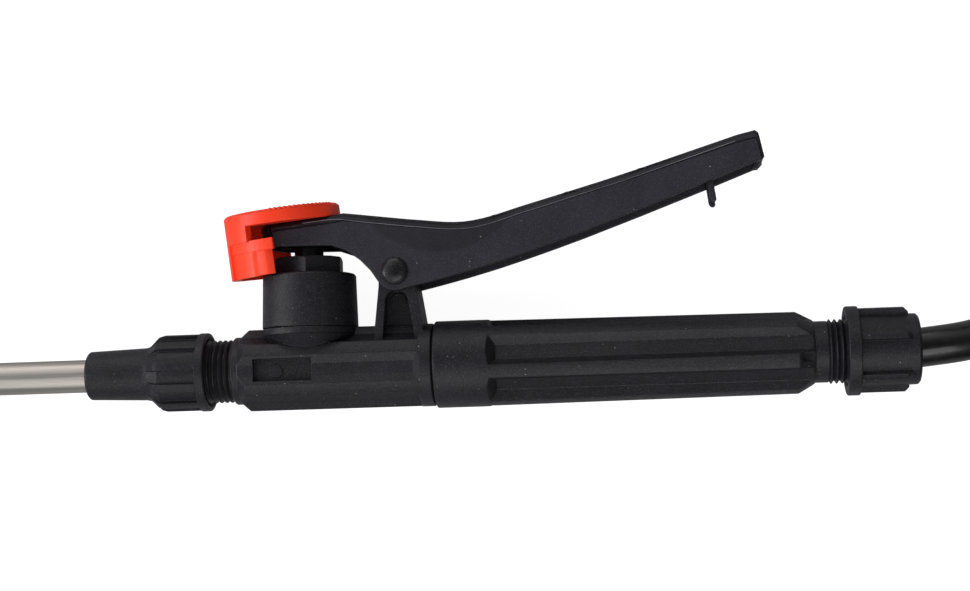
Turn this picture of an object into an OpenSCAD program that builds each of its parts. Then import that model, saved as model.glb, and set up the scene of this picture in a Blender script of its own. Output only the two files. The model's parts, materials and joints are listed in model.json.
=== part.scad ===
// Trigger shut-off handle of a knapsack sprayer, with its lance, nozzle and supply hose.
// The handle lies on its side. Pieces are drawn in the handle's own frame: X runs along the grip
// towards the hose, Z points up through the valve to the lever, Y points away from the side that
// faces up when it lies down. The valve's axis is X = 0. place() lays the pieces down.

/* [Barrel] */
// Radius of the fluted barrel
barrel_r = 13.5; // [12.5:0.1:14.5]
// Distance from the valve axis to the barrel's front collar
barrel_front = 25.3; // [24:0.1:30]
// Distance from the valve axis to the barrel's rear face
barrel_rear = 41.4; // [38:0.1:46]
// Radius of the barrel's front collar
collar_r = 11.2; // [10.8:0.1:12]
// Crest radius of the union threads
thread_r = 10.48; // [10.2:0.01:10.8]
// Pitch of the union threads
thread_pitch = 1.814; // [1.4:0.001:2.2]
// Length of the barrel's front spigot
front_spigot_l = 20.6; // [18:0.1:23]
// Radius of the water way through the barrel
water_r = 4; // [3:0.1:4.2]

/* [Valve tower] */
// Radius of the cap at its foot
cap_r = 15.9; // [15.5:0.1:17]
// Radius of the cap at its rim
cap_rim_r = 15.5; // [15:0.1:15.5]
// Height of the joint between boss and cap above the handle's axis
boss_top = 13.3; // [12.5:0.1:14.5]
// Height of the cap
cap_h = 17.9; // [17:0.1:20]
// Wall of the cap
cap_wall = 3.4; // [2.4:0.1:3.6]
// Width across flats of the gland nut
gland_flats = 21.4; // [20:0.1:23]
// Height of the gland nut's hexagon
gland_h = 5.6; // [4.4:0.1:5.8]
// Radius of the valve stem
stem_r = 4.8; // [4.2:0.1:5]
// Radius of the valve chamber
chamber_r = 9.5; // [9:0.1:10]
// Radius of the valve seat's hole
seat_hole_r = 3; // [2:0.1:3.2]

/* [Lever] */
// Distance from the valve axis back to the pivot
pivot_x = 30; // [29:0.1:33]
// Height of the pivot above the handle's axis
pivot_z = 30.5; // [30:0.1:31.5]
// Radius of the pivot pin's shank
pin_r = 2.5; // [2:0.1:3]
// Radius of the pivot pin's head
pin_head_r = 4.45; // [4:0.05:5]
// Half of the lever's width
lever_half_w = 10.9; // [10.5:0.1:11]
// Side wall of the lever
lever_wall = 2.2; // [1.8:0.1:2.3]
// Top wall of the lever
lever_top = 2.4; // [2:0.1:2.6]
// Distance from the valve axis to the lever's far end
lever_end = 151; // [135:1:170]
// Height of the lever's far end above the handle's axis
lever_end_z = 71.6; // [66:0.1:76]
// Length of the two prongs under the lever
prong_l = 6.5; // [4:0.1:8]

/* [Lock knob] */
// Radius of the knob
knob_r = 19.4; // [19.2:0.1:20.5]
// Thickness of the knob's disc
knob_disc_h = 4.6; // [4:0.1:6]
// Depth of the knob's collar below its disc
knob_collar_h = 16.7; // [14:0.1:17]
// Wall of the knob's skirt
knob_wall = 2.9; // [2.4:0.1:3]
// Distance from the valve axis forward to the knob's centre
knob_x = 8.6; // [8.4:0.1:9]
// Height of the disc's underside above the handle's axis
knob_z = 48.65; // [48.2:0.05:49.5]
// Lean of the knob towards the lance
knob_lean = 6; // [4:0.5:6.5]
// Lean of the knob towards the side that faces up
knob_side_lean = 4.5; // [0:0.5:4.5]

/* [Grip] */
// Length of the grip sleeve without its rear neck
grip_l = 123.1; // [105:0.1:145]
// Radius of the grip's front ring
grip_front_r = 14.3; // [13.8:0.1:14.4]
// Radius of the grip at its rear end
grip_rear_r = 13.5; // [13:0.1:14]
// Length of the grip's plain front ring
grip_ring_l = 17.4; // [15:0.1:24]
// Number of flutes round the grip and the barrel
flute_count = 6; // [4:1:8]
// Depth of the barrel's flutes
barrel_flute_depth = 2.1; // [1.4:0.1:2.4]
// Depth of the grip's flutes
grip_flute_depth = 3.7; // [2:0.1:3.8]
// Width of the flat floor of the barrel's flutes
barrel_flute_w = 3.8; // [3:0.1:5]
// Width of the flat floor of the grip's flutes
grip_flute_w = 4.7; // [3:0.1:6]

/* [Union nuts] */
// Radius of the lance nut's rim
lance_nut_r = 13.05; // [12.8:0.05:14]
// Radius of the lance nut's ribs
lance_nut_rib_r = 12.75; // [12.2:0.05:12.9]
// Length of the lance nut
lance_nut_l = 41.3; // [40:0.1:48]
// Radius of the lance nut's nose
nose_r = 8.1; // [7.6:0.1:8.6]
// Radius of the hose nut's flange
hose_nut_r = 14.5; // [13.8:0.05:15]
// Radius of the hose nut's ribs
hose_nut_rib_r = 13.8; // [13:0.1:14.2]
// Radius of the hose nut's core
hose_nut_core_r = 11.5; // [11.2:0.1:12.2]
// Length of the hose nut
hose_nut_l = 23.4; // [22:0.1:26]
// Radial clearance of parts that turn on each other
run_fit = 0.05; // [0.02:0.01:0.08]

/* [Lance and nozzle] */
// Outer diameter of the lance tube
tube_d = 11; // [10.6:0.1:11.2]
// Wall of the lance tube
tube_wall = 0.8; // [0.6:0.1:1.2]
// Length of bare tube between the lance nut and the elbow
tube_bare = 230; // [150:1:500]
// Bend of the nozzle elbow
elbow_bend = 30; // [28:1:36]
// Radius of the elbow's socket
elbow_r = 8.2; // [7.8:0.1:8.8]
// Radius of the nozzle cap
nozzle_r = 9; // [8.6:0.1:9.4]
// Radius of the spray hole
spray_r = 0.6; // [0.3:0.1:1]

/* [Hose] */
// Outer diameter of the hose
hose_d = 12.8; // [12.4:0.1:13]
// Inner diameter of the hose
hose_bore_d = 8.2; // [7.6:0.1:8.6]
// Radius of the tank nut's thread
tank_thread_r = 10.5; // [10.2:0.05:10.8]
// Outer radius of the tank nut
tank_nut_r = 13.4; // [13:0.1:14.5]

/* [Hidden] */
$fn = 72;
eps = 0.01;

// Colours
black = [0.06, 0.06, 0.07];
soft_black = [0.04, 0.04, 0.045];
red = [0.95, 0.22, 0.12];
steel = [0.72, 0.71, 0.69];
brass = [0.72, 0.56, 0.3];
white = [0.85, 0.86, 0.84];
rubber = [0.09, 0.09, 0.09];

// Union threads
thread_depth = 0.95;
thread_root_r = thread_r - thread_depth;

// Lance nut and what it holds, along X
nut_rear = -barrel_front - 8.55;
nut_nose = nut_rear - lance_nut_l;
spigot_front = -barrel_front - front_spigot_l;
seal_l = 3.8;
ferrule_l = 3.2;
ferrule_front = spigot_front - ferrule_l - 0.1;
nut_shoulder = ferrule_front - 0.05;
tube_r = tube_d / 2;
tube_inner_end = spigot_front + 10;
tube_outer_end = nut_nose - tube_bare - 26;
elbow_x = tube_outer_end - 2;

// Nozzle, along its own axis from the elbow's bend
rest_h = knob_r;
nozzle_chamfer = 1;
nozzle_spigot_r = 6.9;
nozzle_reach = (rest_h - nozzle_r * cos(elbow_bend)) / sin(elbow_bend) + nozzle_chamfer;
nozzle_spigot_l = nozzle_reach - 5;
nozzle_cap_l = nozzle_reach - 9.2;
nozzle_bore_r = 4.6;

// Barrel
barrel_chamfer = 2.6;
collar_l = 2.3;
rear_collar_l = 4.4;
rear_spigot_r = 9.5;
rear_spigot_l = 14;
flute_step = 360 / flute_count;
barrel_flute_out = 20.4;
grip_flute_out = 21.5;
recess_floor = 9.6;
post_web_half = 2.2;

// Valve tower
boss_r = cap_r;
boss_cone_top = boss_top - 2.3;
boss_cone_h = 7;
cap_top = boss_top + cap_h;
cap_bore_r = cap_r - cap_wall;
cap_roof = cap_top - 5.6;
chamber_floor = 5.4;
seat_top = chamber_floor + 1.2;
gland_shank_r = 7.95;
gland_top = cap_top + gland_h;
o_ring_r = 0.88;
o_ring_mid_r = stem_r + 0.9;
disc_bottom = seat_top + 0.05;
disc_h = 2.95;
stem_flange_z = disc_bottom + disc_h;
stem_flange_h = 1.6;
stem_flange_r = 8;
stem_shoulder = cap_top + 9.3;
stem_neck_r = 1.6;
stem_head_r = 2.6;
stem_head_z = stem_shoulder + 3.45;
stem_head_h = 1;
spring_wire = 1.1;
spring_r = 7;
spring_turns = 5.5;
spring_z0 = stem_flange_z + stem_flange_h + spring_wire / 2 + 0.02;
spring_z1 = cap_roof - spring_wire / 2 - 0.02;

// Bracket post
post_half_w = lever_half_w - lever_wall - 0.3;
post_head_r = 5.6;

// Lever: side outline in X and Z, worked out from the pivot and the far end
lever_boss_r = 6.4;
web_z = stem_shoulder + 1.1;
web_h = 1.6;
nose_x = -knob_x - 7.4;
nose_lean = 11.3;
slot_half_w = 1.8;
knob_gap = 0.9;
nose_arc_r = 14;
function under_disc(x) = knob_z - knob_gap + (x + knob_x) * tan(knob_lean);
tail_dx = lever_end - 151;
tail_dz = lever_end_z - 71.6;
lever_upper = [[nose_x, under_disc(nose_x)], [11, under_disc(11)], [13, 50.3], [16, 49.95], [22, 49.15],
               [28, 48.35], [34, 47.55], [39, 47], [44, 46.4], [47, 46.1], [50, 45.95], [53, 46], [56, 46.3],
               [59.5, 46.9], [63, 47.7], [67.5, 49], [72, 50.3], [78, 51.9], [85, 53.8], [98, 57.35],
               [111 + 0.6 * tail_dx, 61.1 + 0.6 * tail_dz], [lever_end - 8, lever_end_z - 0.8],
               [lever_end - 2.6, lever_end_z + 0.4], [lever_end - 1.9, lever_end_z - 0.1],
               [lever_end - 1.6, lever_end_z - 1], [lever_end, lever_end_z - 8.9]];
lever_lower = [[lever_end - 1.2, lever_end_z - 9.4],
               [133 + 0.85 * tail_dx, 55.9 + 0.85 * tail_dz], [111 + 0.6 * tail_dx, 47.9 + 0.6 * tail_dz],
               [92, 41.2], [82, 37.9], [72, 34.75], [62, 31.8], [52, 29.15], [43, 27],
               [pivot_x + 4, pivot_z - 5.5]];
boss_arc = [for (a = [-70 : -20 : -150]) [pivot_x + lever_boss_r * cos(a), pivot_z + lever_boss_r * sin(a)]];
lever_front = [[22, 31], [18.7, 34.5], [14, 38], [9, 39.8], [-8.7, 40.1], [nose_x + 1.9, 40.2]];
lever_side = concat(lever_upper, lever_lower, boss_arc, lever_front);
edge_steps = 3;
edge_r = 2.4;

// Knob
skirt_half = 60;
tongue_half = 26.5;
block_half = 63.2;
lower_half = 78.3;
collar_half = 87;
window_h = 5;
band_h = 3.5;
knob_inner_r = knob_r - knob_wall;
knob_boss_r = 3.5;
knob_pivot_r = 1.6;
knob_bushing = 2.7;
knob_screw_l = 13;

// Grip, along X
grip_front = barrel_rear + 0.4;
grip_rear = grip_front + grip_l;
neck_l = 4.4;
neck_r = 10;
room_r = 8.2;
room_l = 80;
hose_spigot_end = grip_rear + neck_l + 14.7;

// Hose nut, along X
hose_nut_front = grip_rear + neck_l + 5.8;
hose_nut_rear = hose_nut_front + hose_nut_l;
tail_seal_l = 1.2;
tail_flange_l = 1.6;
tail_x = hose_spigot_end + tail_seal_l;
hose_shoulder = tail_x + tail_flange_l + 0.2;
hose_r = hose_d / 2;
hose_bore_r = hose_bore_d / 2;
barb_end = hose_nut_rear - 0.5;

// Where the handle's frame lies in the part's frame: the box of the handle and lance is centred
nozzle_tip_dx = max(nozzle_reach * cos(elbow_bend) + (nozzle_r - nozzle_chamfer) * sin(elbow_bend),
                    (nozzle_reach - nozzle_chamfer) * cos(elbow_bend) + nozzle_r * sin(elbow_bend));
row_x = -(elbow_x - nozzle_tip_dx + hose_nut_rear) / 2;
row_y = -(lever_end_z + 0.4 - hose_nut_r) / 2;

// Hose on the floor: X from the valve axis, Y from the handle's axis, height above the floor
hose_route = [[198, 0.3, 19.4], [203.5, 0.8, 19.3], [209, 1.4, 18.9], [214.7, 2.3, 17.9], [220.4, 3.7, 16.6],
              [226, 5.5, 15], [231.4, 7.7, 13.3], [241.5, 13.4, 10.1], [250.7, 20.6, 7.6], [257.9, 26.5, 6.7],
              [265.8, 31.4, 6.5], [274.2, 35.4, 6.5], [283.1, 38.2, 6.5], [292.2, 39.9, 6.5],
              [301.5, 40.5, 6.5]];
coil_x = 301.5;
coil_out_r = 70.5;
coil_in_r = 57.5;
coil_y = -30;
coil_h = 2 * hose_d;
tip_route = [[301.5, -100.5, 19.2], [292.5, -100.5, 19.2], [283.5, -100.5, 19.1], [274.5, -100.5, 18],
             [265.5, -100.5, 16.3], [256.5, -100.5, 14.5], [249.5, -100.5, 13.5], [243.5, -100.5, 13.4]];
tank_x = 243.5;
tank_y = -100.5;
tank_nut_l = 22;
tank_thread_l = 16.5;

// Lays a piece of the handle down on its side
module place() {
    translate([row_x, row_y, rest_h]) rotate([-90, 0, 0]) children();
}

// Puts a piece of the hose on the floor
module floor_place() {
    translate([row_x, row_y, 0]) children();
}

// Solid of revolution about the handle's axis, from [x, r] points
module turned(points) {
    rotate([0, 90, 0]) rotate_extrude() polygon([for (p = points) [p[1], p[0]]]);
}

// Rod along X
module rod(x0, x1, r) {
    translate([x0, 0, 0]) rotate([0, 90, 0]) cylinder(h = x1 - x0, r = r);
}

// Ring along X
module ring_x(x0, x1, r_in, r_out) {
    difference() {
        rod(x0, x1, r_out);
        rod(x0 - 1, x1 + 1, r_in);
    }
}

// Cone along X
module cone_x(x0, x1, r0, r1) {
    translate([x0, 0, 0]) rotate([0, 90, 0]) cylinder(h = x1 - x0, r1 = r0, r2 = r1);
}

// Rod along Z
module post_z(z0, z1, r) {
    translate([0, 0, z0]) cylinder(h = z1 - z0, r = r);
}

// Ring along Z
module ring_z(z0, z1, r_in, r_out) {
    difference() {
        post_z(z0, z1, r_out);
        post_z(z0 - 1, z1 + 1, r_in);
    }
}

// Outline of a thread's ridges as [x, r] points, from x0 to x1
function ridges(x0, x1) = let (n = floor((x1 - x0) / thread_pitch)) concat(
    [for (i = [0 : n - 1], k = [0 : 3])
        [x0 + (i + [0.1, 0.42, 0.58, 0.9][k]) * thread_pitch, k == 1 || k == 2 ? thread_r : thread_root_r]]);

// Threaded spigot along X
module spigot(x0, x1) {
    turned(concat([[x0, 0], [x0, thread_root_r]], ridges(x0, x1), [[x1, thread_root_r], [x1, 0]]));
}

// Side outline drawn in X and Z, with thickness along Y
module plate(half_w) {
    rotate([90, 0, 0]) linear_extrude(height = 2 * half_w, center = true) children();
}

// Round bar along Y at a place in X and Z
module bar_y(x, z, r, y0, y1) {
    translate([x, y0, z]) rotate([-90, 0, 0]) cylinder(h = y1 - y0, r = r);
}

// Longitudinal flutes cut into a barrel of radius r between x0 and x1; a ramp closes an end.
// Each has a flat floor and walls that meet the barrel at out_a to each side of its middle.
module flutes(x0, x1, ramp0, ramp1, r, turn, depth, floor_w, out_a) {
    floor_r = r - depth;
    top_r = r + 1.5;
    lift = (top_r - floor_r) / depth;
    in_w = floor_w / 2;
    out_w = in_w + (r * sin(out_a) - in_w) * (top_r - floor_r) / (r * cos(out_a) - floor_r);
    for (i = [0 : flute_count - 1])
        rotate([turn + i * flute_step, 0, 0]) intersection() {
            translate([x0 - 5, 0, 0]) rotate([90, 0, 90]) linear_extrude(height = x1 - x0 + 10)
                polygon([[-in_w, floor_r], [in_w, floor_r], [out_w, top_r], [-out_w, top_r]]);
            plate(r)
                polygon([[x0 + ramp0, floor_r], [x1 - ramp1, floor_r],
                         [x1 + ramp1 * (lift - 1), top_r], [x0 - ramp0 * (lift - 1), top_r]]);
        }
}

// Ribs round a nut with an outline of [x, r] points, each a wedge of the given half angle
module outlined_ribs(count, half_a, outline) {
    reach = 2 * max([for (p = outline) p[1]]);
    x0 = min([for (p = outline) p[0]]) - 1;
    x1 = max([for (p = outline) p[0]]) + 1;
    for (i = [0 : count - 1])
        rotate([i * 360 / count, 0, 0]) intersection() {
            turned(outline);
            translate([x0, 0, 0]) rotate([90, 0, 90]) linear_extrude(height = x1 - x0)
                polygon([[0, 0], [reach * sin(half_a), reach * cos(half_a)],
                         [-reach * sin(half_a), reach * cos(half_a)]]);
        }
}

// Straight ribs round a nut between x0 and x1, bevelled at x1
module ribs(count, half_a, x0, x1, r_in, r_out, bevel) {
    outlined_ribs(count, half_a,
        [[x0, r_in], [x0, r_out], [x1 - bevel, r_out], [x1, r_out - bevel], [x1, r_in]]);
}

// The nozzle's frame: origin at the elbow's bend, Z along the spray
module nozzle_frame() {
    translate([elbow_x, 0, 0]) rotate([0, -90, 0]) rotate([-elbow_bend, 0, 0]) children();
}

// The knob's frame: origin under the disc, Z along the knob's axis, X to the rear
module knob_frame() {
    translate([-knob_x, 0, knob_z]) rotate([0, -knob_lean, 0]) rotate([knob_side_lean, 0, 0]) children();
}

// Sector about the front (-X) in plan, for cutting the knob's skirt
module front_sector(half_a, z0, z1) {
    reach = 40;
    steps = 8;
    translate([0, 0, z0]) linear_extrude(height = z1 - z0)
        polygon(concat([[0, 0]], [for (i = [0 : steps])
            let (a = 180 - half_a + 2 * half_a * i / steps) [reach * cos(a), reach * sin(a)]]));
}

// Smooth curve through hand-set points
function curve_at(p, i, t) = let (
    a = p[max(i - 1, 0)], b = p[i], c = p[i + 1], d = p[min(i + 2, len(p) - 1)])
    0.5 * (2 * b + (c - a) * t + (2 * a - 5 * b + 4 * c - d) * t * t + (3 * b - a - 3 * c + d) * t * t * t);
function smooth(p, n) = concat([for (i = [0 : len(p) - 2], k = [0 : n - 1]) curve_at(p, i, k / n)],
    [p[len(p) - 1]]);
function unit(v) = v / norm(v);
function heading(p, i) = unit(p[min(i + 1, len(p) - 1)] - p[max(i - 1, 0)]);
function ring_at(p, i, r, sides) = let (
    h = heading(p, i), s = unit(cross(h, [0, 0, 1])), u = cross(s, h))
    [for (k = [0 : sides - 1]) let (a = 360 * (k + 0.5) / sides) p[i] + r * (cos(a) * s + sin(a) * u)];

// Round cord swept along a path
module sweep_cord(path, r, sides) {
    n = len(path);
    rings = [for (i = [0 : n - 1]) each ring_at(path, i, r, sides)];
    walls = [for (i = [0 : n - 2], k = [0 : sides - 1])
        [i * sides + k, i * sides + (k + 1) % sides, (i + 1) * sides + (k + 1) % sides, (i + 1) * sides + k]];
    first = [for (k = [0 : sides - 1]) sides - 1 - k];
    last = [for (k = [0 : sides - 1]) (n - 1) * sides + k];
    polyhedron(points = rings, faces = concat([first, last], walls), convexity = 6);
}

// Stainless tube of the lance
module lance_tube() {
    color(steel) place() ring_x(tube_outer_end, tube_inner_end, tube_r - tube_wall, tube_r);
}

// Ferrule fixed on the tube, drawn in by the lance nut
module lance_ferrule() {
    color(brass) place() difference() {
        turned([[ferrule_front, 0], [ferrule_front, 9.4], [spigot_front - 1.2, 9.4],
                [spigot_front - 0.1, 8.4], [spigot_front - 0.1, 0]]);
        rod(ferrule_front - 1, spigot_front + 1, tube_r);
    }
}

// Rubber ring between the ferrule and the barrel
module lance_seal() {
    color(rubber) place() ring_x(spigot_front - 0.05, spigot_front + seal_l, tube_r + 0.03, 7.8);
}

// Union nut that clamps the lance
module lance_nut() {
    rib_front = nut_rear - 15.4;
    rim_l = 3.1;
    floor_r = lance_nut_rib_r - 1.4;
    neck_r = nose_r + 0.65;
    color(black) place() difference() {
        union() {
            turned([[nut_nose, 0], [nut_nose, nose_r - 0.7], [nut_nose + 0.7, nose_r],
                    [rib_front - 6.3, neck_r], [rib_front - 4, neck_r + 0.5], [rib_front - 2.2, floor_r - 1],
                    [rib_front - 0.6, floor_r], [nut_rear - rim_l, floor_r], [nut_rear - rim_l, lance_nut_r],
                    [nut_rear - 0.4, lance_nut_r], [nut_rear, lance_nut_r - 0.4], [nut_rear, 0]]);
            rotate([9, 0, 0]) outlined_ribs(10, 7.5,
                [[rib_front - 5.6, neck_r - 1], [rib_front - 5.6, neck_r], [rib_front - 4.4, neck_r + 0.6],
                 [rib_front - 1.4, lance_nut_rib_r - 0.5], [rib_front + 0.4, lance_nut_rib_r],
                 [nut_rear - 1, lance_nut_rib_r], [nut_rear - 1, thread_r + 0.5],
                 [nut_shoulder, thread_r + 0.5], [nut_shoulder, neck_r - 1]]);
        }
        rod(nut_shoulder, nut_rear + 1, thread_r + run_fit);
        cone_x(nut_rear - 1.8, nut_rear + eps, thread_r, thread_r + 1.4);
        rod(nut_nose - 1, nut_shoulder + 1, tube_r + run_fit);
    }
}

// Bent end piece of the lance
module nozzle_elbow() {
    socket_l = 28;
    color(black) place() difference() {
        union() {
            turned([[elbow_x, 0], [elbow_x, elbow_r], [elbow_x + socket_l - 1, elbow_r - 0.4],
                    [elbow_x + socket_l, elbow_r - 1.2], [elbow_x + socket_l, 0]]);
            ring_x(elbow_x + 12, elbow_x + socket_l - 3, tube_r, elbow_r + 0.6);
            translate([elbow_x, 0, 0]) sphere(r = elbow_r);
            nozzle_frame() {
                cylinder(h = 8.6, r = elbow_r - 0.4);
                cylinder(h = nozzle_spigot_l, r = nozzle_spigot_r);
            }
        }
        rod(tube_outer_end, elbow_x + socket_l + 1, tube_r);
        rod(elbow_x, tube_outer_end + 1, 3);
        translate([elbow_x, 0, 0]) sphere(r = 3);
        nozzle_frame() {
            cylinder(h = nozzle_reach, r = 3);
            translate([0, 0, 5]) cylinder(h = nozzle_reach, r = nozzle_bore_r);
        }
    }
}

// Sieve thimble in the nozzle
module nozzle_strainer() {
    color(white) place() nozzle_frame() difference() {
        translate([0, 0, 5.02]) cylinder(h = nozzle_spigot_l - 8.2, r = nozzle_bore_r - 0.02);
        translate([0, 0, 6.2]) cylinder(h = nozzle_spigot_l, r = nozzle_bore_r - 1.1);
        for (i = [0 : 3], k = [0 : 1]) translate([0, 0, 7.6 + 2 * k]) rotate([0, 90, 90 * i])
            cylinder(h = 10, r = 0.6);
    }
}

// Core that spins the water before the spray hole
module swirl_core() {
    color(white) place() nozzle_frame() difference() {
        translate([0, 0, nozzle_spigot_l - 3.1]) cylinder(h = 3.1, r = nozzle_bore_r - 0.02);
        for (a = [0, 180]) rotate([0, 0, a]) translate([2.6, 0, nozzle_spigot_l - 4]) cylinder(h = 6, r = 0.7);
    }
}

// Washer between the elbow's spigot and the nozzle cap
module nozzle_gasket() {
    color(rubber) place() nozzle_frame() difference() {
        translate([0, 0, nozzle_spigot_l + 0.02]) cylinder(h = 1.5, r = nozzle_spigot_r - 0.1);
        translate([0, 0, nozzle_spigot_l - 1]) cylinder(h = 4, r = 3.6);
    }
}

// Screw cap with the spray hole
module nozzle_cap() {
    cap_back = nozzle_reach - nozzle_cap_l;
    roof = nozzle_spigot_l + 1.6;
    color(brass) place() nozzle_frame() difference() {
        rotate_extrude() polygon([[0, cap_back], [nozzle_r - 0.5, cap_back], [nozzle_r, cap_back + 0.5],
            [nozzle_r, nozzle_reach - nozzle_chamfer], [nozzle_r - nozzle_chamfer, nozzle_reach],
            [0, nozzle_reach]]);
        translate([0, 0, cap_back - 1]) cylinder(h = roof - cap_back + 1, r = nozzle_spigot_r + run_fit);
        cylinder(h = 2 * nozzle_reach, r = spray_r);
        translate([0, 0, nozzle_reach - 1.2]) cylinder(h = 3, r1 = spray_r, r2 = spray_r + 6);
        for (i = [0 : 11]) rotate([0, 0, 30 * i]) translate([nozzle_r + 0.5, 0, cap_back + 2.5])
            cylinder(h = nozzle_cap_l - 5, r = 1.1);
    }
}

// Bracket post that carries the lever's pin
module post_outline() {
    polygon([[pivot_x - 7.6, 8], [pivot_x - 7.2, 13.4], [pivot_x - 5.75, 25.8], [pivot_x - post_head_r, pivot_z],
             [pivot_x + post_head_r, pivot_z], [pivot_x + 6.7, 24.2], [pivot_x + 8.4, 13.4],
             [pivot_x + 8.6, 8]]);
    translate([pivot_x, pivot_z]) circle(r = post_head_r);
}

// Arched panel sunk into each face of the post
module post_panel() {
    polygon([[pivot_x - 5, 6], [pivot_x - 3.7, 20.8], [pivot_x + 4, 20.8], [pivot_x + 6.4, 6]]);
    translate([pivot_x + 0.15, 20.8]) circle(r = 3.85);
}

// Barrel with front thread, valve boss and bracket post
module valve_body() {
    recess_x = -17.4;
    recess_z = -4.2;
    color(black) place() difference() {
        union() {
            spigot(spigot_front, -barrel_front + 0.1);
            difference() {
                turned([[-barrel_front, 0], [-barrel_front, collar_r - 0.4], [-barrel_front + 0.4, collar_r],
                        [-barrel_front + collar_l, collar_r],
                        [-barrel_front + collar_l + barrel_chamfer, barrel_r],
                        [barrel_rear - rear_collar_l, barrel_r], [barrel_rear - rear_collar_l, barrel_r + 0.15],
                        [barrel_rear - 0.4, barrel_r + 0.15], [barrel_rear, barrel_r - 0.3], [barrel_rear, 0]]);
                flutes(-barrel_front + 1, barrel_rear - rear_collar_l + 0.4, 0, 2, barrel_r, 33,
                       barrel_flute_depth, barrel_flute_w, barrel_flute_out);
                translate([recess_x, -barrel_r - 1, recess_z])
                    cube([19.3, barrel_r + 1 - recess_floor, 7.3]);
            }
            bar_y(recess_x + 7.3, recess_z + 3.3, 2.2, -recess_floor - 0.3, -recess_floor + 1);
            rod(barrel_rear - 1, barrel_rear + rear_spigot_l, rear_spigot_r);
            translate([0, 0, boss_cone_top - boss_cone_h])
                cylinder(h = boss_cone_h, r1 = boss_r - boss_cone_h, r2 = boss_r);
            post_z(boss_cone_top - eps, boss_top - 0.3, boss_r);
            translate([0, 0, boss_top - 0.3]) cylinder(h = 0.3, r1 = boss_r, r2 = boss_r - 0.3);
            post_z(boss_top - 1, cap_roof - 0.6, cap_bore_r - 0.1);
            difference() {
                plate(post_half_w) post_outline();
                for (s = [-1, 1]) translate([0, s * (post_web_half + 5), 0]) plate(5) post_panel();
            }
            plate(post_web_half + 0.5) intersection() {
                difference() {
                    translate([pivot_x - 0.1, 21.3]) circle(r = 2.6);
                    translate([pivot_x - 0.1, 21.3]) circle(r = 2.1);
                }
                translate([pivot_x - 3, 20.2]) square([6, 5]);
            }
        }
        post_z(chamber_floor, cap_top, chamber_r);
        rod(spigot_front - 1, seat_hole_r, water_r);
        rod(spigot_front - 1, spigot_front + 10.2, tube_r + run_fit);
        rod(spigot_front - 1, spigot_front + seal_l + 0.05, 7.85);
        post_z(0, seat_top + 1, seat_hole_r);
        rod(seat_hole_r + 1.6, barrel_rear + rear_spigot_l + 1, seat_hole_r);
        translate([seat_hole_r + 3.8, 0, 0]) cylinder(h = chamber_floor + 1, r = 2);
        bar_y(pivot_x, pivot_z, pin_r + run_fit, -post_half_w - 1, post_half_w + 1);
    }
    color(black) place() ring_z(chamber_floor, seat_top, seat_hole_r, seat_hole_r + 1.4);
}

// Round cap of the valve tower
module valve_cap() {
    color(black) place() difference() {
        rotate_extrude() polygon([[0, boss_top], [cap_r - 0.3, boss_top], [cap_r, boss_top + 0.3],
            [cap_rim_r, cap_top - 0.6], [cap_rim_r - 0.6, cap_top], [0, cap_top]]);
        post_z(boss_top - 1, cap_roof, cap_bore_r);
        post_z(cap_roof - 1, cap_top + 1, gland_shank_r);
    }
}

// Flat seal between the boss and the cap's roof
module cap_gasket() {
    color(rubber) place() ring_z(cap_roof - 0.58, cap_roof - 0.02, chamber_r + 0.2, cap_bore_r - 0.15);
}

// Hexagonal nut that guides the stem
module gland_nut() {
    corner_r = gland_flats / 2 / cos(30);
    color(black) place() difference() {
        union() {
            intersection() {
                translate([0, 0, cap_top]) rotate([0, 0, 34.5]) cylinder(h = gland_h, r = corner_r, $fn = 6);
                rotate_extrude() polygon([[0, cap_top], [corner_r + 1, cap_top],
                    [corner_r + 1, gland_top - 1.2], [corner_r - 1.4, gland_top], [0, gland_top]]);
            }
            post_z(cap_roof, cap_top + 1, gland_shank_r);
        }
        post_z(cap_roof - 1, gland_top + 1, stem_r + run_fit);
        post_z(cap_roof - 1, cap_roof + 2.2, o_ring_mid_r + o_ring_r + 0.02);
    }
}

// Rubber ring round the stem
module stem_o_ring() {
    color(rubber) place() translate([0, 0, cap_roof + 1.1]) rotate_extrude()
        translate([o_ring_mid_r, 0]) circle(r = o_ring_r);
}

// Stem with spring flange and pulling head
module valve_stem() {
    color(soft_black) place() rotate_extrude() polygon([[0, stem_flange_z - 2.4], [1.6, stem_flange_z - 2.4],
        [1.6, stem_flange_z], [stem_flange_r, stem_flange_z], [stem_flange_r, stem_flange_z + stem_flange_h],
        [stem_r, stem_flange_z + stem_flange_h], [stem_r, stem_shoulder - 0.4], [stem_r - 0.4, stem_shoulder],
        [stem_neck_r, stem_shoulder], [stem_neck_r, stem_head_z], [stem_head_r, stem_head_z],
        [stem_head_r, stem_head_z + stem_head_h - 0.3], [stem_head_r - 0.3, stem_head_z + stem_head_h],
        [0, stem_head_z + stem_head_h]]);
}

// Rubber disc that closes on the seat
module valve_disc() {
    color(rubber) place() ring_z(disc_bottom, disc_bottom + disc_h, 1.6, 6);
}

// Closing spring
module valve_spring() {
    steps = 16;
    n = spring_turns * steps;
    path = [for (i = [0 : n]) let (a = 360 * i / steps)
        [spring_r * cos(a), spring_r * sin(a), spring_z0 + (spring_z1 - spring_z0) * i / n]];
    color(steel) place() sweep_cord(path, spring_wire / 2, 8);
}

// Lever outline moved in from its upper edge
module lever_outline(drop) {
    intersection() {
        polygon(lever_side);
        translate([0, -drop]) polygon(lever_side_tall());
    }
}
function lever_side_tall() = concat(lever_upper, [[lever_end, -20], [nose_x, -20]]);

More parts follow.
